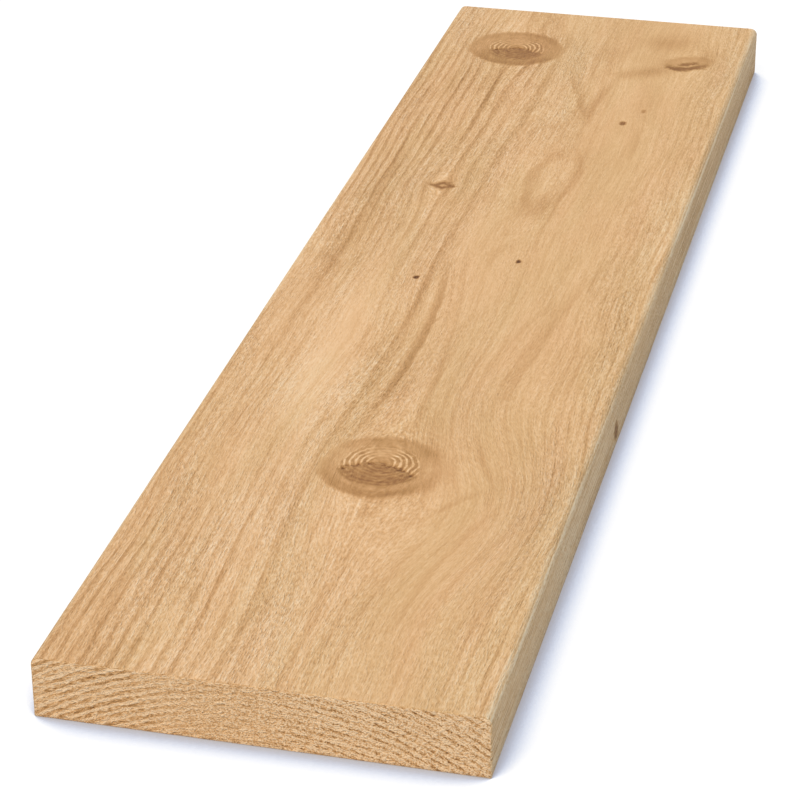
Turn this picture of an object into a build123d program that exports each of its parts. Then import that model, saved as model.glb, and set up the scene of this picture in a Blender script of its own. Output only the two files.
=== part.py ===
"""Softwood plank: one sawn board, dressed to a standard section, with its upper long edges rounded.

Frame: X runs across the board, Y along the grain and Z up. The origin is the middle of the underside.
All sizes are in millimetres.
"""

import os

from build123d import *

# Driving dimensions of the board
length = 600.0
width = 145.0
thickness = 22.0

# Edges: the cutter head rounds the two upper long edges, and every other edge is square with a worn arris
upper_edge_radius = 3.0
worn_arris = 0.4

# The board: its section, run along the grain to both ends from the middle
with BuildPart() as plank:
    with BuildSketch(Plane.XZ) as section:
        Rectangle(width, thickness, align=(Align.CENTER, Align.MIN))
        corners = section.vertices().group_by(Axis.Y)
        fillet(corners[-1], upper_edge_radius)
        chamfer(corners[0], worn_arris)
    extrude(amount=length / 2, both=True)

    # The sawn ends lose their sharp rim
    sawn_ends = plank.faces().filter_by(Axis.Y)
    chamfer(sawn_ends.edges(), worn_arris)

plank.part.label = "plank"

os.makedirs("parts", exist_ok=True)
export_step(plank.part, "parts/plank.step")
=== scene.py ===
"""Dresses the softwood plank, laid out as a small Blender add-on and run as a script.

The board lies with X across it, Y along the grain and Z up. Blender works in metres.
The wood's figure is one solid pattern, written in millimetres in the same frame.
The mesh relief and the surface colours are both cut from it, so they always agree.
"""

import math
from functools import partial
from typing import NamedTuple

import bpy
import numpy as np
from bpy.props import FloatProperty, FloatVectorProperty, PointerProperty
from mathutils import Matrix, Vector, geometry


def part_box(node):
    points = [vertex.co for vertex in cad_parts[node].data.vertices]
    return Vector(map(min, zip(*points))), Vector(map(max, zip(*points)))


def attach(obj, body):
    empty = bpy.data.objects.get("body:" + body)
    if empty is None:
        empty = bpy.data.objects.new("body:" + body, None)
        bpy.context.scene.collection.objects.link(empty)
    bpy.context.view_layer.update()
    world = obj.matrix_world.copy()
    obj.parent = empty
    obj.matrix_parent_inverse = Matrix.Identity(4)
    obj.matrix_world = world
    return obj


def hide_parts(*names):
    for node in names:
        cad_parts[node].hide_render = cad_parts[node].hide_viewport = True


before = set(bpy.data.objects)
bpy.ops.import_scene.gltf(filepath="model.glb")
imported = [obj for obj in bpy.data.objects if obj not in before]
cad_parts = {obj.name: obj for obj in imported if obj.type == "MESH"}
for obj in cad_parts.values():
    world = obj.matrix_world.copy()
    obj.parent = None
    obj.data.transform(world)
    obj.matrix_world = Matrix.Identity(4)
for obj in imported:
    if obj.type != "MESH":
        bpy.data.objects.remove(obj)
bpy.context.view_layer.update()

bl_info = {
    "name": "Softwood Plank",
    "version": (1, 0, 0),
    "blender": (4, 5, 0),
    "location": "3D View > Sidebar > Plank",
    "description": "Builds one planed softwood board with its knots, rings and sawn ends",
    "category": "Add Mesh",
}

PLANK_LOW, PLANK_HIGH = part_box("plank")
MM = 0.001
TOP = PLANK_HIGH[2] / MM

# Node kinds that the shader and the geometry trees share.
MATH = "ShaderNodeMath"
VECTOR = "ShaderNodeVectorMath"
NOISE = "ShaderNodeTexNoise"
RANDOM = "ShaderNodeTexWhiteNoise"
REMAP = "ShaderNodeMapRange"
SPLIT = "ShaderNodeSeparateXYZ"
JOIN = "ShaderNodeCombineXYZ"
MIX = "ShaderNodeMix"

# Parts of the figure that the mesh carries at its points, and the kind of each.
FIGURE_KINDS = {
    "place": "FLOAT_VECTOR", "grain": "FLOAT_VECTOR", "ring_place": "FLOAT_VECTOR",
    "ring_count": "FLOAT", "ring_contrast": "FLOAT", "tone": "FLOAT",
    "line_offset": "FLOAT", "line_dark": "FLOAT",
}


class Patch(NamedTuple):
    """Soft oval on the board: middle, half width and half length in millimetres, and what it adds."""

    x: float
    y: float
    wide: float
    long: float
    amount: float


class Knot(NamedTuple):
    """Knot on the upper face: its middle, and the radius that the grain parts around, in millimetres."""

    x: float
    y: float
    parting: float


class PinKnot(NamedTuple):
    """Cut twig: its middle, half width and half length in millimetres, and how dark it is."""

    x: float
    y: float
    wide: float
    long: float
    dark: float


class GrainLine(NamedTuple):
    """Dark line in the grain: its middle, how far it slants and bends over 100 mm, its reach along the
    board and its width, all in millimetres, and how dark it is. A width below nothing turns its sharp
    side from +X to -X.
    """

    x: float
    y: float
    slant: float
    bend: float
    reach: float
    width: float
    dark: float


# Where the knots are, in millimetres from the middle of the board.
NEAR_KNOT = Knot(x=2.4, y=-155.6, parting=12.5)
FAR_KNOT = Knot(x=-33.8, y=248.4, parting=10.0)
SMALL_KNOT = Knot(x=-31.2, y=83.2, parting=5.0)
SPIKE_KNOT = Knot(x=47.0, y=247.0, parting=8.0)
KNOTS = (NEAR_KNOT, FAR_KNOT, SMALL_KNOT, SPIKE_KNOT)
PIN_KNOTS = (
    PinKnot(x=-21.0, y=-6.9, wide=1.1, long=1.6, dark=115.0),
    PinKnot(x=15.0, y=16.2, wide=1.0, long=1.6, dark=110.0),
    PinKnot(x=30.5, y=168.3, wide=1.4, long=2.0, dark=75.0),
    PinKnot(x=37.0, y=184.0, wide=0.9, long=2.2, dark=34.0),
)
# A twig cut by the right edge, lower down.
EDGE_KNOT = (72.5, -90.9, 6.5)
# The two round knots are alike: a ringed heart, dark on its near half, inside a brown collar.
HEART_RADIUS = 12.6
COLLAR_RADIUS = 21.8
# Distance between the fine rings of a heart, and between the broad ones of a collar.
KNOT_RING = 2.05
COLLAR_RING = 8.0
# The near knot's collar lies this far to the right of its heart and towards the near end.
COLLAR_RIGHT = 1.0
COLLAR_NEARER = 3.2
# The crack across a heart bows: it drops by this much times the square of the way from the middle.
CRACK_BOW = 0.027
# Depths in millimetres of the crack, a pin knot and the small knot.
CRACK_DEPTH = 0.6
PIN_DEPTH = 0.3
SMALL_KNOT_DEPTH = 0.15
# The grain parts round a knot in an eye this many times longer than wide.
PARTING_STRETCH = 2.2
# Branches lean this far along the board for each millimetre down.
BRANCH_LEAN = 0.35

# The tree's pith lies below the board, so the rings are arcs on the ends.
PITH_X = -4.5
PITH_Z = -119.0
# The slow rings start where the top face cuts them at the middle of the board.
CREST_RADIUS = 141.0
# Rings outside the crest widen as they go out: their number rises as this power of the distance.
RINGS_PER_POWER = 1.72
RING_POWER = 0.75
INNER_RING = 1.5
# On the torn ends the rings are about this far apart, and faintest at this place across.
END_RING = 2.4
END_FAINT_X = -10.0
# The pith has wandered a little by there.
END_PITH_X = 1.0
END_PITH_Z = -103.0

# Sideways moves of the grain, in millimetres.
GRAIN_DRIFTS = (
    Patch(x=-8.0, y=-80.0, wide=30.0, long=45.0, amount=3.0),
    Patch(x=-15.0, y=20.0, wide=25.0, long=60.0, amount=-2.0),
    Patch(x=42.0, y=-185.0, wide=24.0, long=45.0, amount=12.0),
    Patch(x=30.0, y=-100.0, wide=22.0, long=40.0, amount=-8.0),
)
# Share of the ring contrast that is lost in some places.
RING_FADES = (
    Patch(x=-36.0, y=-55.0, wide=16.0, long=115.0, amount=0.9),
    Patch(x=-50.0, y=-165.0, wide=30.0, long=42.0, amount=0.6),
    Patch(x=-63.0, y=-45.0, wide=14.0, long=75.0, amount=0.75),
    Patch(x=36.0, y=0.0, wide=38.0, long=900.0, amount=0.84),
    Patch(x=34.0, y=215.0, wide=26.0, long=110.0, amount=0.65),
    Patch(x=0.0, y=10.0, wide=22.0, long=130.0, amount=0.8),
    Patch(x=-20.0, y=290.0, wide=60.0, long=40.0, amount=0.7),
    Patch(x=42.0, y=-215.0, wide=30.0, long=60.0, amount=0.3),
)
# The plainest dark lines of the face.
GRAIN_LINES = (
    GrainLine(x=-16.0, y=-40.0, slant=0.0, bend=-2.5, reach=85.0, width=-1.6, dark=22.0),
    GrainLine(x=-21.2, y=-120.0, slant=26.0, bend=0.0, reach=14.0, width=-1.8, dark=17.0),
    GrainLine(x=-6.6, y=-64.0, slant=0.0, bend=-11.0, reach=66.0, width=2.5, dark=35.0),
    GrainLine(x=-15.4, y=42.0, slant=0.0, bend=-4.0, reach=40.0, width=-1.6, dark=12.0),
    GrainLine(x=3.4, y=-54.0, slant=-10.0, bend=-6.0, reach=70.0, width=1.8, dark=10.0),
    GrainLine(x=37.5, y=-45.0, slant=13.0, bend=5.0, reach=66.0, width=3.6, dark=11.0),
    GrainLine(x=24.0, y=-70.0, slant=12.3, bend=22.0, reach=55.0, width=2.0, dark=8.0),
    GrainLine(x=36.0, y=-147.0, slant=-40.0, bend=15.0, reach=22.0, width=2.2, dark=9.0),
    GrainLine(x=31.0, y=-181.0, slant=65.0, bend=0.0, reach=13.0, width=2.6, dark=12.0),
    GrainLine(x=36.0, y=-225.0, slant=17.0, bend=16.0, reach=60.0, width=1.8, dark=9.0),
    GrainLine(x=46.0, y=-225.0, slant=20.0, bend=16.0, reach=50.0, width=1.6, dark=7.0),
    GrainLine(x=-58.0, y=-272.0, slant=-6.0, bend=0.0, reach=32.0, width=2.4, dark=15.0),
    GrainLine(x=-10.5, y=-265.0, slant=-6.0, bend=0.0, reach=44.0, width=1.8, dark=10.0),
    GrainLine(x=-35.0, y=205.0, slant=-4.0, bend=0.0, reach=27.0, width=2.4, dark=17.0),
    GrainLine(x=38.5, y=145.0, slant=-3.0, bend=0.0, reach=16.0, width=2.4, dark=9.0),
    GrainLine(x=-25.0, y=285.0, slant=35.0, bend=0.0, reach=14.0, width=1.4, dark=9.0),
    GrainLine(x=3.2, y=97.0, slant=0.0, bend=62.0, reach=31.0, width=-3.2, dark=16.0),
    GrainLine(x=21.5, y=103.0, slant=0.0, bend=-60.0, reach=28.0, width=3.0, dark=14.0),
    GrainLine(x=5.4, y=196.0, slant=-31.0, bend=0.0, reach=28.0, width=-3.0, dark=17.0),
    GrainLine(x=14.4, y=190.0, slant=5.0, bend=30.0, reach=27.0, width=2.6, dark=17.0),
    GrainLine(x=5.5, y=21.0, slant=16.0, bend=0.0, reach=13.0, width=2.2, dark=9.0),
    GrainLine(x=-56.3, y=28.0, slant=0.8, bend=-1.2, reach=96.0, width=-3.0, dark=18.0),
)
# A line this dark stands as high as late wood.
HARD_LINE = 25.0
# How much paler the rounded right upper edge is painted, in levels of 255: painted light, so it looks as
# lit as the top.
EDGE_PAINTED_LIGHT = 8.0
# Broad light and dark stretches of the face, in levels of 255. The two pale ones on the rounded right edge
# are painted light.
TONE_PATCHES = (
    Patch(x=-38.0, y=-106.0, wide=15.0, long=32.0, amount=12.0),
    Patch(x=-38.0, y=-20.0, wide=14.0, long=85.0, amount=5.0),
    # Painted light: paler along most of the rounded right edge.
    Patch(x=72.0, y=-50.0, wide=7.0, long=330.0, amount=8.0),
    Patch(x=12.0, y=68.0, wide=7.0, long=11.0, amount=-15.0),
    Patch(x=13.0, y=82.0, wide=6.0, long=14.0, amount=-6.0),
    Patch(x=-26.0, y=60.0, wide=5.0, long=18.0, amount=-6.0),
    Patch(x=11.0, y=176.0, wide=4.5, long=11.0, amount=-11.0),
    Patch(x=30.0, y=163.0, wide=5.0, long=7.0, amount=-6.0),
    Patch(x=10.5, y=126.0, wide=5.0, long=6.0, amount=-10.0),
    Patch(x=-70.0, y=-285.0, wide=10.0, long=60.0, amount=-8.0),
    Patch(x=30.0, y=-230.0, wide=14.0, long=60.0, amount=-3.0),
    Patch(x=16.5, y=-146.5, wide=5.0, long=5.5, amount=-8.0),
    Patch(x=22.0, y=-150.0, wide=28.0, long=36.0, amount=-6.0),
    Patch(x=3.0, y=-130.0, wide=14.0, long=12.0, amount=-4.0),
    Patch(x=15.5, y=-168.0, wide=5.0, long=6.0, amount=9.0),
    Patch(x=-31.0, y=-211.0, wide=12.0, long=29.0, amount=11.0),
    Patch(x=-16.0, y=-241.0, wide=5.0, long=14.0, amount=8.0),
    Patch(x=-28.0, y=-293.0, wide=6.0, long=10.0, amount=9.0),
    # Painted light: paler on the rounded right edge here.
    Patch(x=71.5, y=-186.0, wide=4.0, long=28.0, amount=7.0),
    Patch(x=-20.5, y=-108.0, wide=5.0, long=20.0, amount=8.0),
    Patch(x=-4.0, y=-94.0, wide=4.5, long=26.0, amount=-8.0),
    Patch(x=10.0, y=-280.0, wide=60.0, long=40.0, amount=4.0),
    Patch(x=-15.0, y=-215.0, wide=18.0, long=60.0, amount=4.0),
    Patch(x=-50.0, y=-85.0, wide=22.0, long=70.0, amount=3.0),
    Patch(x=50.0, y=-60.0, wide=22.0, long=90.0, amount=-4.0),
    Patch(x=40.0, y=150.0, wide=28.0, long=110.0, amount=-3.0),
    Patch(x=18.0, y=278.0, wide=24.0, long=26.0, amount=-6.0),
    Patch(x=52.0, y=282.0, wide=10.0, long=24.0, amount=-5.0),
    Patch(x=67.0, y=268.0, wide=7.0, long=26.0, amount=6.0),
    Patch(x=13.0, y=252.0, wide=10.0, long=15.0, amount=-8.0),
    Patch(x=31.0, y=249.0, wide=10.0, long=9.0, amount=-6.0),
    Patch(x=41.0, y=276.0, wide=9.0, long=14.0, amount=-11.0),
    Patch(x=40.0, y=190.0, wide=14.0, long=22.0, amount=-5.0),
    Patch(x=21.0, y=226.0, wide=6.0, long=5.0, amount=-16.0),
    Patch(x=29.0, y=230.5, wide=6.5, long=5.5, amount=-20.0),
    Patch(x=33.0, y=270.0, wide=11.0, long=9.0, amount=-17.0),
    Patch(x=56.0, y=257.0, wide=5.0, long=9.0, amount=-15.0),
    Patch(x=37.0, y=235.5, wide=6.5, long=6.0, amount=-19.0),
    Patch(x=-31.2, y=80.0, wide=8.0, long=16.0, amount=-5.0),
)


def linear(hex_colour):
    """Turns an sRGB hex colour into the linear red, green and blue that Blender works in."""
    shares = [int(hex_colour[i:i + 2], 16) / 255.0 for i in (1, 3, 5)]
    return [share / 12.92 if share <= 0.04045 else ((share + 0.055) / 1.055) ** 2.4 for share in shares]


class PlankSizes(bpy.types.PropertyGroup):
    """Sizes of the board."""

    length: FloatProperty(
        name="Length", description="Length along the grain", unit="LENGTH",
        default=PLANK_HIGH[1] - PLANK_LOW[1])
    width: FloatProperty(
        name="Width", description="Width across the grain", unit="LENGTH",
        default=PLANK_HIGH[0] - PLANK_LOW[0])
    thickness: FloatProperty(
        name="Thickness", description="Thickness between the two planed faces", unit="LENGTH",
        default=PLANK_HIGH[2] - PLANK_LOW[2])
    edge_radius: FloatProperty(
        name="Edge radius", description="Rounding of the two upper long edges", unit="LENGTH",
        default=3.0 * MM)
    worn_arris: FloatProperty(
        name="Worn arris", description="Wear on the square edges", unit="LENGTH",
        default=0.4 * MM)
    ring_relief: FloatProperty(
        name="Ring relief", description="How far the soft wood between the dark rings has sunk",
        unit="LENGTH", default=0.10 * MM)
    saw_relief: FloatProperty(
        name="Saw relief", description="Depth of the torn fibres on the sawn ends", unit="LENGTH",
        default=0.3 * MM)


class SoftwoodColours(bpy.types.PropertyGroup):
    """Colours of the wood, from the palest fibres to the pitch in the knots."""

    bright: FloatVectorProperty(
        name="Bright fibres", description="Palest early wood", subtype="COLOR",
        default=linear("#F6DAB4"))
    pale: FloatVectorProperty(
        name="Pale wood", description="Pale patches of the face", subtype="COLOR",
        default=linear("#E7C193"))
    plain: FloatVectorProperty(
        name="Plain wood", description="Usual colour of the face", subtype="COLOR",
        default=linear("#DAB180"))
    ring: FloatVectorProperty(
        name="Late wood", description="Dark lines of the yearly rings", subtype="COLOR",
        default=linear("#CB9F6E"))
    collar: FloatVectorProperty(
        name="Knot collar", description="Brown wood round a knot", subtype="COLOR",
        default=linear("#B58A58"))
    heart: FloatVectorProperty(
        name="Knot heart", description="Dark side of a knot", subtype="COLOR",
        default=linear("#976C42"))
    pitch: FloatVectorProperty(
        name="Pitch", description="Cracks and pin knots", subtype="COLOR",
        default=linear("#503118"))


# Where each colour stands on the scale of tones, in levels of 255.
TONE_STOPS = {
    "pitch": 54.0, "heart": 111.0, "collar": 139.0, "ring": 160.0,
    "plain": 177.0, "pale": 192.0, "bright": 218.0,
}
# Sizes of the patterns in millimetres: across the grain, along it and down through the board.
RAGGED_RING = (2.4, 16.0, 2.4)
BROKEN_RING = (7.0, 70.0, 7.0)
CLOUD = (13.0, 80.0, 13.0)
CUTTER_LINE = (0.6, 220.0, 0.6)
UNEVEN_KNOT = (9.0, 9.0, 9.0)
TORN_KNOT = (2.2, 2.2, 2.2)
# Real fibres are 0.03 mm wide and too fine to show, so they are drawn as bundles of half a millimetre.
LONG_FIBRE = (0.6, 18.0, 0.6)
SHORT_FIBRE = (0.42, 2.2, 0.42)
# On the ends the fibres are torn off, and are drawn as coarse: out from the pith, round it and along.
END_DASH = (0.7, 1.8, 1.0)
END_BLOTCH = (4.0, 14.0, 1.0)
END_PIT = (1.1, 2.4, 1.0)
END_SPECK = (0.6, 0.6, 0.6)
# Tones of the planed face in levels of 255: its usual one, and how much each pattern changes it.
FACE_TONE = 184.6
RING_TONE = 37.0
CLOUD_TONE = 24.0
LONG_FIBRE_TONE = 54.0
SHORT_FIBRE_TONE = 84.0
CUTTER_TONE = 75.0
# Those of the sawn ends: the faintest middle, what the plain sides add, and the late wood and blotches.
END_TONE = 192.0
END_SIDE_TONE = 16.0
END_LATE_TONE = 58.0
END_BLOTCH_TONE = 18.0

# How the wood's colour leans between yellower and redder places, as shares of red, green and blue.
YELLOW_TINT = (0.995, 1.0, 0.965)
RED_TINT = (1.03, 1.0, 0.985)
# The long edges are a little greyer than the face, from here to here in millimetres from the middle.
EDGE_TINT = (1.0, 1.048, 1.055)
EDGE_START = 69.6
EDGE_FULL = 71.6
# The torn ends are a little warmer.
END_TINT = (1.03, 1.0, 0.975)


class StageSettings(bpy.types.PropertyGroup):
    """Floor, light and camera."""

    floor_colour: FloatVectorProperty(
        name="Floor", description="Plain pale floor", subtype="COLOR",
        default=linear("#CECECE"))
    sky_colour: FloatVectorProperty(
        name="Sky light", description="Soft cool light from all round", subtype="COLOR",
        default=linear("#C4CEDD"))
    lamp_colour: FloatVectorProperty(
        name="Lamp colour", description="Warm main light", subtype="COLOR",
        default=linear("#FFEAC8"))
    lamp_strength: FloatProperty(
        name="Lamp strength", description="Strength of the main light", default=1.87)
    lamp_softness: FloatProperty(
        name="Lamp softness", description="Angle that the main light fills", subtype="ANGLE",
        default=math.radians(35.0))
    camera_place: FloatVectorProperty(
        name="Camera place", description="Where the camera stands", subtype="TRANSLATION",
        default=(0.21548, -0.98905, 0.49670))
    camera_turn: FloatVectorProperty(
        name="Camera turn", description="Which way the camera looks", subtype="EULER",
        default=[math.radians(angle) for angle in (62.3552, 0.2473, 13.78)])
    camera_lens: FloatProperty(
        name="Camera lens", description="Focal length in millimetres on a 36 mm sensor", default=128.41)


def add_node(tree, kind, *inputs, **settings):
    """Adds one node with its settings, links or sets its inputs in order, and returns its first output."""
    node = tree.nodes.new(kind)
    for name, value in settings.items():
        setattr(node, name, value)
    sockets = [socket for socket in node.inputs if socket.enabled]
    for socket, value in zip(sockets, inputs):
        if isinstance(value, bpy.types.NodeSocket):
            tree.links.new(value, socket)
        elif value is not None:
            socket.default_value = value
    return next((socket for socket in node.outputs if socket.enabled), None)


def streaks(add, place, size, detail=1.0, roughness=0.6):
    """Noise about nothing, in streaks of a size in millimetres along each axis of the place."""
    scaled = add(VECTOR, place, [1.0 / reach for reach in size], operation="MULTIPLY")
    return add(MATH, add(NOISE, scaled, 1.0, detail, roughness), 0.5, operation="SUBTRACT")


def fill_ramp(ramp, stops):
    """Gives a colour ramp its stops, each a place on the ramp and a linear colour, in rising order."""
    elements = ramp.node.color_ramp.elements
    while len(elements) < len(stops):
        elements.new(1.0)
    for element, (position, colour) in zip(elements, stops):
        element.position = position
        element.color = (*colour, 1.0)


class Figure(NamedTuple):
    """How the wood lies at a point, as arrays or as node sockets: places in millimetres, rings in years,
    and tones in levels of 255. The ring place runs out from the pith, round it and along the board.
    """

    place: object
    grain: object
    ring_place: object
    ring_count: object
    ring_contrast: object
    tone: object
    line_offset: object
    line_dark: object


def soft_patch(patch, x, y):
    """One in the middle of a patch, falling away smoothly past its half width and half length."""
    return np.exp(-((x - patch.x) / patch.wide) ** 2 - ((y - patch.y) / patch.long) ** 2)


def lay_figure(points):
    """Solid figure of the board at points in millimetres: the run of the grain, the rings and the lines."""
    x, y, z = points.T
    # Branches lean, so what they do to the grain slides along the board with depth.
    y = y + BRANCH_LEAN * (z - TOP)
    # The grain wanders by about a millimetre over every few centimetres.
    wander = 0.9 * np.sin(y / 38.0 + x / 29.0) + 0.5 * np.sin(y / 17.0 - x / 13.0)

    # The fibres part round each knot like a stream round a post.
    across = x + wander
    for knot in KNOTS:
        sideways, beyond = x - knot.x, y - knot.y
        spread = (sideways / knot.parting) ** 2 + (beyond / knot.parting / PARTING_STRETCH) ** 2
        across -= sideways / (1.0 + spread)
    for drift in GRAIN_DRIFTS:
        across -= drift.amount * soft_patch(drift, x, y)

    from_pith = np.hypot(across - PITH_X, z - PITH_Z)
    past_crest = from_pith - CREST_RADIUS
    outer = RINGS_PER_POWER * np.maximum(past_crest, 0.0) ** RING_POWER
    ring_count = outer + np.minimum(past_crest, 0.0) / INNER_RING
    ring_contrast = np.ones_like(x)
    for fade in RING_FADES:
        ring_contrast *= 1.0 - fade.amount * soft_patch(fade, x, y)
    tone = sum(patch.amount * soft_patch(patch, x, y) for patch in TONE_PATCHES)
    # Painted light: the rounded right upper edge is painted paler, as though lit like the top.
    tone += EDGE_PAINTED_LIGHT * np.clip((x - 70.0) / 1.5, 0.0, 1.0) * np.clip((z - TOP + 3.4) / 0.6, 0.0, 1.0)

    # Each point keeps how far it lies from the nearest line, in widths of that line.
    nearest = np.full_like(x, 1000.0)
    line_offset, line_dark = np.zeros_like(x), np.zeros_like(x)
    for line in GRAIN_LINES:
        run = (y - line.y) / 100.0
        offset = (x + 0.4 * wander - line.x - line.slant * run - line.bend * run ** 2) / line.width
        lasting = np.exp(-((y - line.y) / line.reach) ** 4)
        distance = np.abs(offset) / np.maximum(lasting, 0.05)
        closer = distance < nearest
        nearest = np.where(closer, distance, nearest)
        line_offset = np.where(closer, offset, line_offset)
        line_dark = np.where(closer, line.dark * lasting * (np.abs(offset) < 2.5), line_dark)
    place = np.stack([x, y, z], axis=1)
    grain = np.stack([across, y, z], axis=1)
    end_across, end_up = across - END_PITH_X, z - END_PITH_Z
    round_pith = CREST_RADIUS * np.arctan2(end_across, end_up)
    ring_place = np.stack([np.hypot(end_across, end_up), round_pith, y], axis=1)
    return Figure(place, grain, ring_place, ring_count, ring_contrast, tone, line_offset, line_dark)


def keep_figure(mesh):
    """Lays the figure on the mesh, and keeps it at the mesh's points."""
    points = np.empty(3 * len(mesh.vertices))
    mesh.vertices.foreach_get("co", points)
    figure = lay_figure(points.reshape(-1, 3) / MM)
    for name, kind in FIGURE_KINDS.items():
        values = getattr(figure, name).astype(np.float32).ravel()
        field = "vector" if kind == "FLOAT_VECTOR" else "value"
        mesh.attributes.new(name, kind, "POINT").data.foreach_set(field, values)


def figure_in_material(add):
    """Figure that the mesh carries, read back in a material."""
    outputs = {name: add("ShaderNodeAttribute", attribute_name=name).node.outputs for name in FIGURE_KINDS}
    return Figure(*(outputs[name]["Vector" if kind == "FLOAT_VECTOR" else "Fac"]
                    for name, kind in FIGURE_KINDS.items()))


def figure_in_relief(add):
    """Figure that the mesh carries, read back in geometry nodes."""
    return Figure(*(add("GeometryNodeInputNamedAttribute", name, data_type=kind)
                    for name, kind in FIGURE_KINDS.items()))


def late_wood(add, figure):
    """Dark late wood of each year, which comes on slowly and stops sharply, and the plainest dark lines."""
    smooth = partial(add, REMAP, interpolation_type="SMOOTHSTEP")
    times = partial(add, MATH, operation="MULTIPLY")
    times_plus = partial(add, MATH, operation="MULTIPLY_ADD")
    ragged = streaks(add, figure.grain, RAGGED_RING, 2.0, 0.55)
    count = times_plus(ragged, 0.3, figure.ring_count)
    season = add(MATH, count, operation="FRACT")
    onset = smooth(season, 0.46, 0.82, 0.0, 1.0)
    winter = smooth(season, 0.9, 1.0, 1.0, 0.0)
    # Years differ, and a ring shows along some stretches and is lost along others.
    year = add(RANDOM, add(MATH, count, operation="FLOOR"), noise_dimensions="1D")
    strength = add(REMAP, year, 0.0, 1.0, 0.5, 1.0)
    broken = add(REMAP, streaks(add, figure.grain, BROKEN_RING, 1.0, 0.5), -0.15, 0.1, 0.5, 1.0)
    strength = times(times(strength, broken), figure.ring_contrast)
    dark = times(times(onset, winter), strength)
    # The plainest lines have one sharp side and one that fades.
    offset = times_plus(ragged, 1.2, figure.line_offset)
    rise = smooth(offset, -1.5, 0.2, 0.0, 1.0)
    fall = smooth(offset, 0.4, 0.9, 1.0, 0.0)
    line = times(times(rise, fall), figure.line_dark)
    return dark, line


class KnotWood(NamedTuple):
    """Sockets of the knots: levels taken from the tone, share of the grain hidden, and depth in mm."""

    darkening: bpy.types.NodeSocket
    cover: bpy.types.NodeSocket
    sunk: bpy.types.NodeSocket


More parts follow.
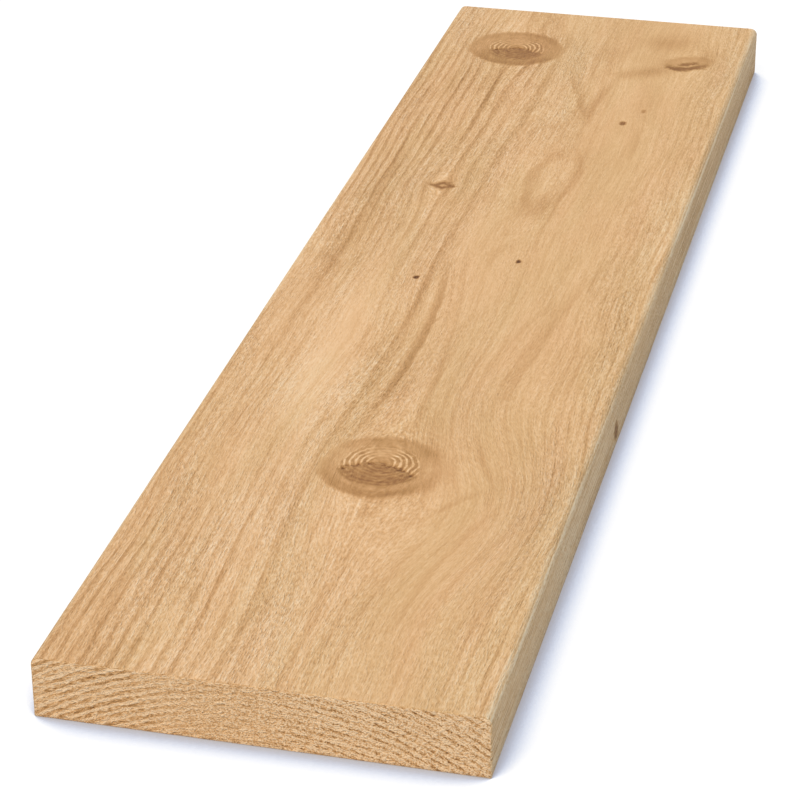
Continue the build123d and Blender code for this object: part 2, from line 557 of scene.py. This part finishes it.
def round_knots(add, place, uneven, torn):
    """The two round knots, each a collar and a heart. Pairs of numbers are for the near and far one."""
    smooth = partial(add, REMAP, interpolation_type="SMOOTHSTEP")
    times = partial(add, MATH, operation="MULTIPLY")
    times_plus = partial(add, MATH, operation="MULTIPLY_ADD")

    # Each knot is drawn about its own middle, and a point belongs to the nearer one.
    along = add(SPLIT, place).node.outputs["Y"]
    far_knot = add(MATH, along, (NEAR_KNOT.y + FAR_KNOT.y) / 2.0, operation="GREATER_THAN")
    by_knot = partial(add, REMAP, far_knot, 0.0, 1.0)
    middle = add(JOIN, by_knot(NEAR_KNOT.x, FAR_KNOT.x), by_knot(NEAR_KNOT.y, FAR_KNOT.y), 0.0)
    away = add(VECTOR, place, middle, operation="SUBTRACT")
    away = add(VECTOR, away, (1.0, 1.0, 0.0), operation="MULTIPLY")
    sideways = add(SPLIT, away)
    beyond = sideways.node.outputs["Y"]
    radius = add(VECTOR, away, operation="LENGTH")
    least_radius = add(MATH, radius, 1.0, operation="MAXIMUM")
    wavy = times_plus(uneven, 3.0, radius)
    frayed = times_plus(torn, 3.0, wavy)
    shift = add(JOIN, by_knot(-COLLAR_RIGHT, 0.0), by_knot(COLLAR_NEARER, 0.0), 0.0)
    collar_radius = add(VECTOR, add(VECTOR, away, shift, operation="ADD"), operation="LENGTH")
    collar_wavy = times_plus(uneven, 3.5, collar_radius)
    facing = add(MATH, beyond, least_radius, operation="DIVIDE")
    near_side = smooth(facing, 0.3, -0.8, 0.0, 1.0)
    nearest = smooth(facing, 0.0, -0.95, 0.0, 1.0)
    farthest = smooth(facing, 0.2, 0.9, 0.0, 1.0)
    right_side = smooth(add(MATH, sideways, least_radius, operation="DIVIDE"), 0.2, 0.9, 0.0, 1.0)

    # Collar: a brown disc with a faint rim, softer on the right, and a thick dark near side.
    edge = add(MIX, far_knot, times_plus(right_side, 6.0, 3.0), 2.4, data_type="FLOAT")
    outside = add(MATH, times_plus(torn, 3.0, collar_wavy), COLLAR_RADIUS, operation="SUBTRACT")
    outside = add(MATH, outside, edge, operation="DIVIDE")
    collar = smooth(outside, 0.6, -0.6, 0.0, 1.0)
    turns = add(MATH, collar_wavy, COLLAR_RADIUS - 1.8, operation="SUBTRACT")
    wide_ring = add(MATH, times(turns, 2.0 * math.pi / COLLAR_RING), operation="COSINE")
    disc = times_plus(farthest, by_knot(15.0, 8.0), times_plus(wide_ring, 4.0, by_knot(18.0, 29.0)))
    crescent = smooth(collar_wavy, 15.2, 17.6, by_knot(21.0, 20.0), by_knot(27.0, 20.0))
    collar_tone = times_plus(uneven, 22.0, times_plus(nearest, crescent, disc))

    # Heart: fine rings, pale at the sides of the far half, and a larger dark near half beyond a crack.
    heart_edge = add(MIX, near_side, 1.6, 2.0, data_type="FLOAT")
    reaching = times_plus(near_side, by_knot(-3.6, -1.5), frayed)
    outside = add(MATH, reaching, HEART_RADIUS, operation="SUBTRACT")
    outside = add(MATH, outside, heart_edge, operation="DIVIDE")
    heart = smooth(outside, 0.6, -0.6, 0.0, 1.0)
    wave = add(MATH, times(wavy, 2.0 * math.pi / KNOT_RING), operation="SINE")
    crest = smooth(wave, -0.3, 0.9, 0.0, 1.0)
    turned = times_plus(sideways, 0.2, add(MATH, sideways, operation="ABSOLUTE"))
    turned = add(MATH, turned, least_radius, operation="DIVIDE")
    at_side = times(smooth(turned, 0.35, 0.8, 0.12, 1.0), smooth(radius, 2.0, 5.0, 0.0, 1.0))
    middle_tone = smooth(radius, 2.0, 7.0, by_knot(34.0, 36.0), by_knot(24.0, 29.0))
    far_tone = times_plus(times(crest, at_side), -48.0, times_plus(at_side, 20.0, middle_tone))
    inner_dark = smooth(frayed, 7.0, 10.5, by_knot(63.0, 71.0), by_knot(60.0, 65.0))
    outer_dark = smooth(frayed, 11.0, 13.5, 0.0, by_knot(9.0, 0.0))
    near_tone = times_plus(crest, -11.0, add(MATH, inner_dark, outer_dark, operation="ADD"))
    crack_line = add(MATH, beyond, by_knot(1.6, -0.8), operation="ADD")
    crack_line = times_plus(times(sideways, sideways), CRACK_BOW, crack_line)
    crack_line = times_plus(torn, 5.0, times_plus(uneven, 8.0, crack_line))
    below_crack = smooth(crack_line, 1.0, -1.0, 0.0, 1.0)
    heart_tone = add(MIX, below_crack, far_tone, near_tone, data_type="FLOAT")
    crack = smooth(add(MATH, crack_line, operation="ABSOLUTE"), 2.2, 0.3, 0.0, 1.0)
    crack = times(times(crack, heart), smooth(torn, -0.05, 0.1, 0.0, 1.0))
    heart_tone = times_plus(crack, 32.0, heart_tone)
    tone = add(MIX, heart, collar_tone, heart_tone, data_type="FLOAT")
    tone = times_plus(torn, add(REMAP, heart, 0.0, 1.0, 14.0, 72.0), tone)
    return KnotWood(times(collar, tone), collar, times(crack, CRACK_DEPTH))


def spike_knot(add, place, uneven, torn):
    """Branch cut on the slant, dark on its near left side, with a dark core: its levels and its cover."""
    smooth = partial(add, REMAP, interpolation_type="SMOOTHSTEP")
    times = partial(add, MATH, operation="MULTIPLY")
    times_plus = partial(add, MATH, operation="MULTIPLY_ADD")
    away = add(VECTOR, place, (SPIKE_KNOT.x, SPIKE_KNOT.y, 0.0), operation="SUBTRACT")
    lengthwise = add(VECTOR, away, (0.87 / 11.5, 0.5 / 11.5, 0.0), operation="DOT_PRODUCT")
    crosswise = add(VECTOR, away, (-0.5 / 8.5, 0.87 / 8.5, 0.0), operation="DOT_PRODUCT")
    spread = add(VECTOR, add(JOIN, lengthwise, crosswise, 0.0), operation="LENGTH")
    spread = times_plus(torn, 0.5, times_plus(uneven, 0.6, spread))
    body = smooth(spread, 1.3, 0.7, 0.0, 1.0)
    from_rim = add(MATH, add(MATH, spread, 0.82, operation="SUBTRACT"), operation="ABSOLUTE")
    facing = smooth(times_plus(lengthwise, 0.35, crosswise), 0.1, -0.75, 0.1, 1.0)
    rim = times(smooth(from_rim, 0.38, 0.05, 0.0, 1.0), facing)
    core = times_plus(crosswise, 2.6, times_plus(torn, 1.6, 0.35))
    core = smooth(add(MATH, core, operation="ABSOLUTE"), 0.8, 0.2, 0.0, 1.0)
    core = times(core, smooth(add(MATH, lengthwise, operation="ABSOLUTE"), 0.55, 0.25, 0.0, 1.0))
    dark = times_plus(body, 20.0, times_plus(rim, 58.0, times(core, 50.0)))
    return dark, body


def knot_wood(add, place):
    """Knots of the upper face, which run down through the board, and the twig in the right edge."""
    smooth = partial(add, REMAP, interpolation_type="SMOOTHSTEP")
    times_plus = partial(add, MATH, operation="MULTIPLY_ADD")
    uneven = streaks(add, place, UNEVEN_KNOT, 2.0)
    torn = streaks(add, place, TORN_KNOT, 2.0)
    darkening, cover, sunk = round_knots(add, place, uneven, torn)
    spike_dark, spike = spike_knot(add, place, uneven, torn)
    darkening = add(MATH, darkening, spike_dark, operation="ADD")
    cover = add(MATH, cover, spike, operation="MAXIMUM")

    # Pin knots: small dark plugs with a pit in the middle.
    for pin in PIN_KNOTS:
        away = add(VECTOR, place, (pin.x, pin.y, 0.0), operation="SUBTRACT")
        shares = add(VECTOR, away, (1.0 / pin.wide, 1.0 / pin.long, 0.0), operation="MULTIPLY")
        spread = times_plus(torn, 1.2, add(VECTOR, shares, operation="LENGTH"))
        plug = smooth(spread, 1.5, 0.5, 0.0, 1.0)
        darkening = times_plus(plug, pin.dark, darkening)
        sunk = times_plus(plug, PIN_DEPTH, sunk)

    # Small knot: a dark lozenge round a pale middle.
    away = add(VECTOR, place, (SMALL_KNOT.x, SMALL_KNOT.y, 0.0), operation="SUBTRACT")
    sides = add(VECTOR, away, operation="ABSOLUTE")
    sides = add(VECTOR, sides, (1.0 / 5.6, 1.0 / 4.4, 0.0), operation="DOT_PRODUCT")
    sides = times_plus(torn, 1.1, sides)
    lozenge = smooth(sides, 1.5, 0.6, 0.0, 1.0)
    pale_middle = smooth(sides, 0.45, 0.15, 0.0, 1.0)
    darkening = times_plus(lozenge, add(MIX, pale_middle, 71.0, 26.0, data_type="FLOAT"), darkening)
    cover = add(MATH, lozenge, cover, operation="MAXIMUM")
    sunk = times_plus(lozenge, SMALL_KNOT_DEPTH, sunk)

    # Twig cut by the right edge.
    away = add(VECTOR, place, EDGE_KNOT, operation="SUBTRACT")
    spread = times_plus(torn, 3.0, add(VECTOR, away, operation="LENGTH"))
    darkening = times_plus(smooth(spread, 5.2, 2.4, 0.0, 1.0), 72.0, darkening)
    return KnotWood(darkening, cover, sunk)


def tone_to_colour(add, tone, colours):
    """Turns a tone in levels of 255 into the wood's colour at that tone."""
    ramp = add("ShaderNodeValToRGB", add(MATH, tone, 255.0, operation="DIVIDE"))
    fill_ramp(ramp, [(level / 255.0, getattr(colours, name)) for name, level in TONE_STOPS.items()])
    return ramp


def new_material(name):
    """Empty material, its node adder, and the surface socket of its output."""
    material = bpy.data.materials.new(name)
    material.use_nodes = True
    material.node_tree.nodes.clear()
    output = material.node_tree.nodes.new("ShaderNodeOutputMaterial")
    return material, partial(add_node, material.node_tree), output.inputs["Surface"]


def wood_shader(material, colour, height, roughness):
    """Matt wood with its colour and fine relief in millimetres, and little gloss: dry fibres scatter it."""
    add = partial(add_node, material.node_tree)
    shader = add("ShaderNodeBsdfPrincipled")
    wood = shader.node.inputs
    # The walls of wood cells have an IOR of about 1.5.
    wood["IOR"].default_value = 1.5
    wood["Specular IOR Level"].default_value = 0.2
    wood["Roughness"].default_value = roughness
    material.node_tree.links.new(colour, wood["Base Color"])
    material.node_tree.links.new(add("ShaderNodeBump", 1.0, MM, None, height), wood["Normal"])
    return shader


def planed_softwood(colours):
    """Planed softwood: a matt warm tan face with dark yearly lines, short raised fibres and brown knots."""
    material, add, surface = new_material("planed_softwood")
    times = partial(add, MATH, operation="MULTIPLY")
    times_plus = partial(add, MATH, operation="MULTIPLY_ADD")
    minus = partial(add, MATH, operation="SUBTRACT")
    figure = figure_in_material(add)
    knots = knot_wood(add, figure.place)
    dark, line = late_wood(add, figure)
    sideways = add(SPLIT, figure.place)
    along = sideways.node.outputs["Y"]
    from_middle = add(MATH, sideways, operation="ABSOLUTE")
    on_edge = add(REMAP, from_middle, EDGE_START, EDGE_FULL, 0.0, 1.0)

    # Clouds of a few centimetres: lighter and darker, furry and smooth, redder and yellower.
    cloud_place = add(VECTOR, figure.grain, [1.0 / reach for reach in CLOUD], operation="MULTIPLY")
    clouds = add(SPLIT, add(NOISE, cloud_place, 1.0, 2.0, 0.5).node.outputs["Color"]).node.outputs
    furry = add(REMAP, clouds["Y"], 0.38, 0.66, 0.74, 1.16)
    # Cut fibres stand out where the rings are plain, and lie quiet elsewhere and on the knots.
    coarse = add(REMAP, figure.ring_contrast, 0.05, 0.5, 0.36, 1.08)
    coarse = times(coarse, add(REMAP, knots.cover, 0.0, 1.0, 1.0, 0.5))
    long_fibre = times(streaks(add, figure.grain, LONG_FIBRE), coarse)
    short_fibre = times(streaks(add, figure.grain, SHORT_FIBRE), times(furry, coarse))
    # The cutter head leaves long fine lines on the rounded edges.
    cutter_line = times(streaks(add, figure.place, CUTTER_LINE, 0.0), on_edge)

    rings = times_plus(dark, RING_TONE, times(line, times_plus(long_fibre, 1.6, 1.0)))
    rings = times(rings, minus(1.0, knots.cover))
    tone = add(MATH, figure.tone, FACE_TONE, operation="ADD")
    tone = times_plus(minus(clouds["X"], 0.5), CLOUD_TONE, tone)
    tone = times_plus(long_fibre, LONG_FIBRE_TONE, tone)
    tone = times_plus(short_fibre, SHORT_FIBRE_TONE, tone)
    tone = times_plus(cutter_line, CUTTER_TONE, tone)
    tone = minus(minus(tone, rings), knots.darkening)
    # The left side is redder than the right, the near end a little pinker, and the far end the yellowest.
    far_end = add(REMAP, along, 190.0, 250.0, 0.0, 0.12)
    near_end = add(REMAP, along, -200.0, -80.0, 0.06, 0.0)
    lean = minus(times_plus(sideways, -0.0015, clouds["Z"]), minus(far_end, near_end))
    hue = add(REMAP, lean, 0.35, 0.65, 0.0, 1.0)
    tint = add(MIX, hue, YELLOW_TINT, RED_TINT, data_type="VECTOR")
    tint = add(MIX, on_edge, tint, EDGE_TINT, data_type="VECTOR")
    colour = add(VECTOR, tone_to_colour(add, tone, colours), tint, operation="MULTIPLY")

    height = times_plus(long_fibre, 0.2, times(short_fibre, 0.6))
    material.node_tree.links.new(wood_shader(material, colour, height, 0.7), surface)
    return material


def sawn_softwood(colours):
    """Sawn softwood end: pale and brown bands of the yearly rings, furred by the saw into fine specks."""
    material, add, surface = new_material("sawn_softwood")
    smooth = partial(add, REMAP, interpolation_type="SMOOTHSTEP")
    times = partial(add, MATH, operation="MULTIPLY")
    times_plus = partial(add, MATH, operation="MULTIPLY_ADD")
    minus = partial(add, MATH, operation="SUBTRACT")
    figure = figure_in_material(add)
    sideways = add(SPLIT, figure.place)
    from_pith = add(SPLIT, figure.ring_place)
    dash = streaks(add, figure.ring_place, END_DASH)
    blotch = streaks(add, figure.ring_place, END_BLOTCH, 1.0, 0.5)
    speck = streaks(add, figure.place, END_SPECK)

    # Smooth pale bands and torn dark ones, which are wider on the left.
    count = times_plus(blotch, 1.5, times_plus(dash, 0.25, from_pith))
    count = add(MATH, count, END_RING, operation="DIVIDE")
    season = add(MATH, count, operation="FRACT")
    onset = minus(season, add(REMAP, sideways, -40.0, 20.0, 0.36, 0.5))
    late = times(smooth(onset, 0.0, 0.16, 0.0, 1.0), smooth(season, 0.9, 1.0, 1.0, 0.0))
    # Years differ, the bands are faintest near the middle, and they are lost in some blotches.
    year = add(RANDOM, add(MATH, count, operation="FLOOR"), noise_dimensions="1D")
    from_faint = add(MATH, minus(sideways, END_FAINT_X), operation="ABSOLUTE")
    plain = add(REMAP, from_faint, 8.0, 34.0, 0.3, 1.0)
    late = times(late, add(REMAP, year, 0.0, 1.0, 0.6, 1.0))
    late = times(late, times(plain, add(REMAP, blotch, -0.14, 0.06, 0.45, 1.0)))

    # Dashes show most in the late wood, and specks on the right.
    tone = times_plus(late, -END_LATE_TONE, times_plus(plain, END_SIDE_TONE, END_TONE))
    tone = times_plus(blotch, END_BLOTCH_TONE, tone)
    tone = times_plus(dash, add(REMAP, late, 0.0, 0.8, 70.0, 190.0), tone)
    tone = times_plus(speck, add(REMAP, sideways, -45.0, 15.0, 52.0, 200.0), tone)
    colour = add(VECTOR, tone_to_colour(add, tone, colours), END_TINT, operation="MULTIPLY")
    height = times_plus(dash, 0.5, times(speck, 0.5))
    material.node_tree.links.new(wood_shader(material, colour, height, 0.85), surface)
    return material


# Cell sizes of the mesh in millimetres: fine where the figure shows, coarser underneath.
TOP_CELL = 0.75
SIDE_CELL = 1.3
UNDER_CELL = 2.4
END_CELL = 0.9
STATION_CELL = 2.7
KNOT_STATION_CELL = 1.3
KNOT_REACH = 16.0
ARC_STEPS = 6
# Strips of the surface map: the top face has the largest share, and the grain runs along each strip.
MAP_TOP = (0.42, 0.995)
MAP_UNDER = (0.18, 0.41)
MAP_RIGHT = (0.13, 0.17)
MAP_LEFT = (0.085, 0.125)
MAP_ENDS = (0.005, 0.08)
# Bare border of the map, and between the two ends on it.
MAP_MARGIN = 0.005


class Section(NamedTuple):
    """Outline of the board's section in millimetres, and the strip of the map that each cell takes."""

    points: np.ndarray
    map_start: np.ndarray
    map_end: np.ndarray


def straight(start, end, cell):
    """Points from start up to, but not with, end, about a cell apart."""
    start, end = np.array(start), np.array(end)
    steps = max(1, round(float(np.linalg.norm(end - start)) / cell))
    shares = np.arange(steps)[:, None] / steps
    return start + (end - start) * shares


def corner(middle, radius, from_angle):
    """Points of a quarter turn clockwise, without its last one."""
    angles = np.radians(from_angle - 90.0 * np.arange(ARC_STEPS) / ARC_STEPS)
    return np.array(middle) + radius * np.stack([np.cos(angles), np.sin(angles)], axis=1)


def board_section(sizes, inset):
    """Section of the board drawn in by an inset, clockwise from the left side of the upper left edge."""
    half = sizes.width / MM / 2.0
    arris = sizes.worn_arris / MM
    side, top = half - inset, sizes.thickness / MM - inset
    radius = sizes.edge_radius / MM - inset
    flat, high = side - radius, top - radius
    # A bevel drawn in by an inset moves this share of it along each of the two sides.
    low = arris + inset * math.tan(math.radians(22.5))
    under = half - low
    strips = (
        (MAP_TOP, (corner((-flat, high), radius, 180.0), straight((-flat, top), (flat, top), TOP_CELL),
                   corner((flat, high), radius, 90.0))),
        (MAP_RIGHT, (straight((side, high), (side, low), SIDE_CELL),)),
        (MAP_UNDER, (straight((side, low), (under, inset), SIDE_CELL),
                     straight((under, inset), (-under, inset), UNDER_CELL),
                     straight((-under, inset), (-side, low), SIDE_CELL))),
        (MAP_LEFT, (straight((-side, low), (-side, high), SIDE_CELL),)),
    )
    points, starts, ends = [], [], []
    for (map_low, map_high), runs in strips:
        run = np.concatenate(runs)
        shares = np.arange(len(run) + 1) / len(run)
        heights = map_low + (map_high - map_low) * shares
        points.append(run)
        starts.append(heights[:-1])
        ends.append(heights[1:])
    return Section(np.concatenate(points), np.concatenate(starts), np.concatenate(ends))


def stations_along(sizes):
    """Places along the grain where a section stands, closer together at the knots."""
    half = sizes.length / MM / 2.0
    full = half - sizes.worn_arris / MM
    fine = np.linspace(-full, full, 6001)
    density = np.full_like(fine, 1.0 / STATION_CELL)
    for knot in KNOTS:
        closeness = np.exp(-(((fine - knot.y) / KNOT_REACH) ** 4))
        density += closeness * (1.0 / KNOT_STATION_CELL - 1.0 / STATION_CELL)
    count = np.concatenate([[0.0], np.cumsum((density[1:] + density[:-1]) / 2.0 * np.diff(fine))])
    steps = int(round(count[-1]))
    return np.concatenate([[-half], np.interp(np.linspace(0.0, count[-1], steps + 1), count, fine), [half]])


def end_triangles(outline, radius):
    """Fills the end's outline with points about a cell apart: the new points, and the triangles."""
    low, high = outline.min(axis=0), outline.max(axis=0)
    row_step = END_CELL * math.sqrt(3.0) / 2.0
    rows = np.arange(low[1] + END_CELL, high[1] - END_CELL / 2.0, row_step)
    inside = []
    for number, z in enumerate(rows):
        shift = END_CELL / 2.0 * (number % 2)
        # Beside the rounded upper edges the row is shorter.
        pull = max(0.0, radius - (high[1] - z)) * 0.6
        places = np.arange(low[0] + END_CELL + pull + shift, high[0] - END_CELL - pull, END_CELL)
        inside += [(x, z) for x in places]
    inside = np.array(inside)
    rim = len(outline)
    points = [Vector(point) for point in np.concatenate([outline, inside])]
    edges = [(i, (i + 1) % rim) for i in range(rim)]
    flat, _, triangles, sources, _, _ = geometry.delaunay_2d_cdt(points, edges, [], 1, 1e-6)
    if len(flat) != len(points):
        raise RuntimeError("the end of the board could not be filled evenly")
    order = [source[0] for source in sources]
    return inside, [[order[i] for i in triangle] for triangle in triangles]


def board_mesh(sizes):
    """Closed mesh of the plain board, with its map laid out, before any relief is cut into it."""
    section = board_section(sizes, 0.0)
    drawn_in = board_section(sizes, sizes.worn_arris / MM)
    stations = stations_along(sizes)
    around, along = len(section.points), len(stations)
    half = sizes.length / MM / 2.0

    outlines = [drawn_in.points] + [section.points] * (along - 2) + [drawn_in.points]
    vertices = [np.column_stack([o[:, 0], np.full(around, y), o[:, 1]]) for o, y in zip(outlines, stations)]
    faces, map_points, finishes = [], [], []
    lengthwise = (stations + half) / (2.0 * half) * (1.0 - 2.0 * MAP_MARGIN) + MAP_MARGIN
    for j in range(along - 1):
        for i in range(around):
            after = (i + 1) % around
            near, far = j * around, (j + 1) * around
            faces.append((near + i, near + after, far + after, far + i))
            start, end = section.map_start[i], section.map_end[i]
            map_points += [(lengthwise[j], start), (lengthwise[j], end),
                           (lengthwise[j + 1], end), (lengthwise[j + 1], start)]
            finishes.append(0)

    inside, triangles = end_triangles(drawn_in.points, sizes.edge_radius / MM)
    filled = np.concatenate([drawn_in.points, inside])
    spread = (filled - filled.min(axis=0)) / (filled.max(axis=0) - filled.min(axis=0))
    total = around * along
    end_span = 0.5 - 2.0 * MAP_MARGIN
    ends = ((-half, 0, 1, MAP_MARGIN), (half, around * (along - 1), -1, 0.5 + MAP_MARGIN))
    for y, first_ring, facing, map_left in ends:
        vertices.append(np.column_stack([inside[:, 0], np.full(len(inside), y), inside[:, 1]]))
        for triangle in triangles:
            turned = triangle[::facing]
            faces.append([first_ring + k if k < around else total + k - around for k in turned])
            map_points += [(map_left + end_span * spread[k][0],
                            MAP_ENDS[0] + (MAP_ENDS[1] - MAP_ENDS[0]) * spread[k][1]) for k in turned]
            finishes.append(1)
        total += len(inside)

    mesh = bpy.data.meshes.new("board")
    mesh.from_pydata((np.concatenate(vertices) * MM).tolist(), [], faces)
    mesh.uv_layers.new(name="OFBake")
    mesh.uv_layers["OFBake"].data.foreach_set("uv", np.array(map_points, dtype=np.float32).ravel())
    mesh.polygons.foreach_set("material_index", finishes)
    mesh.validate()
    return mesh


def relief_tree(sizes):
    """Geometry nodes that sink soft wood, cracks, pits and torn ends into the board."""
    tree = bpy.data.node_groups.new("board_relief", "GeometryNodeTree")
    tree.interface.new_socket("Board", in_out="INPUT", socket_type="NodeSocketGeometry")
    tree.interface.new_socket("Board", in_out="OUTPUT", socket_type="NodeSocketGeometry")
    add = partial(add_node, tree)
    figure = figure_in_relief(add)
    knots = knot_wood(add, figure.place)
    dark, line = late_wood(add, figure)
    hard = add(MATH, line, 1.0 / HARD_LINE, dark, operation="MULTIPLY_ADD", use_clamp=True)
    early_wood = add(MATH, 1.0, hard, operation="SUBTRACT")
    planed = add(MATH, early_wood, sizes.ring_relief / MM, knots.sunk, operation="MULTIPLY_ADD")

    position = add(SPLIT, add("GeometryNodeInputPosition")).node.outputs["Y"]
    from_middle = add(MATH, position, operation="ABSOLUTE")
    from_end = add(MATH, sizes.length / 2.0, from_middle, operation="SUBTRACT")
    on_end = add(MATH, from_end, sizes.worn_arris / 2.0, operation="LESS_THAN")
    torn = streaks(add, figure.ring_place, END_PIT, 2.0)
    torn = add(REMAP, torn, -0.2, 0.2, 0.0, sizes.saw_relief / MM)
    depth = add(MIX, on_end, planed, torn, data_type="FLOAT")
    inward = add(MATH, depth, -MM, operation="MULTIPLY")
    offset = add(VECTOR, add("GeometryNodeInputNormal"), inward, operation="SCALE")
    add("NodeGroupOutput", add("GeometryNodeSetPosition", add("NodeGroupInput"), True, None, offset))
    return tree


class PLANK_OT_board(bpy.types.Operator):
    """Builds the board in place of the plain plank"""

    bl_idname = "plank.board"
    bl_label = "Board"

    def execute(self, context):
        sizes = context.scene.plank_sizes
        colours = context.scene.softwood_colours
        mesh = board_mesh(sizes)
        keep_figure(mesh)
        mesh.materials.append(planed_softwood(colours))
        mesh.materials.append(sawn_softwood(colours))
        board = bpy.data.objects.new("board", mesh)
        context.collection.objects.link(board)

        relief = board.modifiers.new("relief", "NODES")
        relief.node_group = relief_tree(sizes)
        carved = bpy.data.meshes.new_from_object(board.evaluated_get(context.evaluated_depsgraph_get()))
        if len(carved.vertices) != len(mesh.vertices):
            raise RuntimeError("the relief changed the board's mesh")
        board.modifiers.clear()
        board.data = carved
        carved.polygons.foreach_set("use_smooth", [True] * len(carved.polygons))
        carved.set_sharp_from_angle(angle=math.radians(40.0))

        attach(board, "root")
        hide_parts("plank")
        return {"FINISHED"}


# The floor reaches out by this many lengths of the board.
FLOOR_LENGTHS = 30.0
# The main light stands high on the left, on the camera's side of the board.
LAMP_SIDE = (-0.42, -0.75, 1.0)


class PLANK_OT_stage(bpy.types.Operator):
    """Lays the pale floor, and sets the light and the camera"""

    bl_idname = "plank.stage"
    bl_label = "Stage"

    def execute(self, context):
        scene = context.scene
        settings = scene.stage_settings
        scene.view_settings.view_transform = "Standard"

        reach = FLOOR_LENGTHS * (PLANK_HIGH[1] - PLANK_LOW[1])
        mesh = bpy.data.meshes.new("floor")
        corners = [(-reach, -reach, 0.0), (reach, -reach, 0.0), (reach, reach, 0.0), (-reach, reach, 0.0)]
        mesh.from_pydata(corners, [], [(0, 1, 2, 3)])
        floor = bpy.data.objects.new("floor", mesh)
        context.collection.objects.link(floor)
        mesh.materials.append(pale_floor(settings))

        scene.world = soft_sky(settings)
        lamp = bpy.data.lights.new("lamp", "SUN")
        lamp.energy = settings.lamp_strength
        lamp.color = settings.lamp_colour
        lamp.angle = settings.lamp_softness
        lamp_object = bpy.data.objects.new("lamp", lamp)
        lamp_object.rotation_euler = Vector(LAMP_SIDE).to_track_quat("Z", "Y").to_euler()
        context.collection.objects.link(lamp_object)

        camera = bpy.data.cameras.new("camera")
        camera.sensor_width = 36.0
        camera.lens = settings.camera_lens
        camera_object = bpy.data.objects.new("camera", camera)
        camera_object.location = settings.camera_place
        camera_object.rotation_euler = settings.camera_turn
        context.collection.objects.link(camera_object)
        scene.camera = camera_object
        return {"FINISHED"}


# How far the board's soft shadow reaches on the floor, in metres, and its colour by the share of open sky.
SHADOW_REACH = 0.03
FLOOR_STOPS = (
    (0.53, "#A39D9E"), (0.57, "#B7BED2"), (0.62, "#D5DEF2"), (0.67, "#FAFCFF"), (0.70, "#FFFFFF"),
)
# How white the camera sees the floor, and the share of it that comes from the light on it.
FLOOR_WHITE = 1.08
SEEN_LIT_SHARE = 0.2


def seen_directly(add):
    """One for rays from the camera, mirrors and glass, and nothing for the light on the object."""
    rays = add("ShaderNodeLightPath").node.outputs
    total = add(MATH, rays["Is Camera Ray"], rays["Is Glossy Ray"], operation="ADD")
    return add(MATH, total, rays["Is Transmission Ray"], operation="ADD", use_clamp=True)


def pale_floor(settings):
    """Matt painted floor: plain white with the board's soft shadow on it, and clear from below."""
    material, add, surface = new_material("matt_painted_floor")
    seen = seen_directly(add)
    lit = (SEEN_LIT_SHARE, SEEN_LIT_SHARE, SEEN_LIT_SHARE, 1.0)
    colour = add(MIX, seen, (*settings.floor_colour, 1.0), lit, data_type="RGBA")
    paint = add("ShaderNodeBsdfDiffuse", colour, 1.0)
    # Close to the board the floor sees less of the sky, and its white falls off there.
    open_sky = add("ShaderNodeAmbientOcclusion", None, SHADOW_REACH, samples=16).node.outputs["AO"]
    ramp = add("ShaderNodeValToRGB", open_sky)
    fill_ramp(ramp, [(share, linear(colour)) for share, colour in FLOOR_STOPS])
    even = add(MATH, seen, FLOOR_WHITE - SEEN_LIT_SHARE, operation="MULTIPLY")
    white = add("ShaderNodeEmission", ramp, even)
    front = add("ShaderNodeAddShader", paint, white)
    behind = add("ShaderNodeNewGeometry").node.outputs["Backfacing"]
    mixed = add("ShaderNodeMixShader", behind, front, add("ShaderNodeBsdfTransparent"))
    material.node_tree.links.new(mixed, surface)
    return material


def soft_sky(settings):
    """Even cool light from all round, which the camera sees as white."""
    world = bpy.data.worlds.new("soft_sky")
    world.use_nodes = True
    world.node_tree.nodes.clear()
    add = partial(add_node, world.node_tree)
    light = add("ShaderNodeBackground", (*settings.sky_colour, 1.0), 1.0)
    white = add("ShaderNodeBackground", (1.0, 1.0, 1.0, 1.0), 1.0)
    output = world.node_tree.nodes.new("ShaderNodeOutputWorld")
    mixed = add("ShaderNodeMixShader", seen_directly(add), light, white)
    world.node_tree.links.new(mixed, output.inputs["Surface"])
    return world


class PLANK_PT_sidebar(bpy.types.Panel):
    """Sizes, colours and pieces of the plank"""

    bl_label = "Softwood Plank"
    bl_idname = "PLANK_PT_sidebar"
    bl_space_type = "VIEW_3D"
    bl_region_type = "UI"
    bl_category = "Plank"

    def draw(self, context):
        scene = context.scene
        for group, operator in (
                (scene.plank_sizes, PLANK_OT_board), (scene.softwood_colours, None),
                (scene.stage_settings, PLANK_OT_stage)):
            box = self.layout.box()
            for name in group.__annotations__:
                box.prop(group, name)
            if operator:
                box.operator(operator.bl_idname)


CLASSES = (PlankSizes, SoftwoodColours, StageSettings, PLANK_OT_board, PLANK_OT_stage, PLANK_PT_sidebar)


def register():
    """Registers the classes and hangs the settings on the scene."""
    for each in CLASSES:
        bpy.utils.register_class(each)
    bpy.types.Scene.plank_sizes = PointerProperty(type=PlankSizes)
    bpy.types.Scene.softwood_colours = PointerProperty(type=SoftwoodColours)
    bpy.types.Scene.stage_settings = PointerProperty(type=StageSettings)


def unregister():
    """Takes the settings off the scene and unregisters the classes."""
    del bpy.types.Scene.stage_settings
    del bpy.types.Scene.softwood_colours
    del bpy.types.Scene.plank_sizes
    for each in reversed(CLASSES):
        bpy.utils.unregister_class(each)


def main():
    """Builds the board and its stage."""
    register()
    bpy.ops.plank.board()
    bpy.ops.plank.stage()


if __name__ == "__main__":
    main()
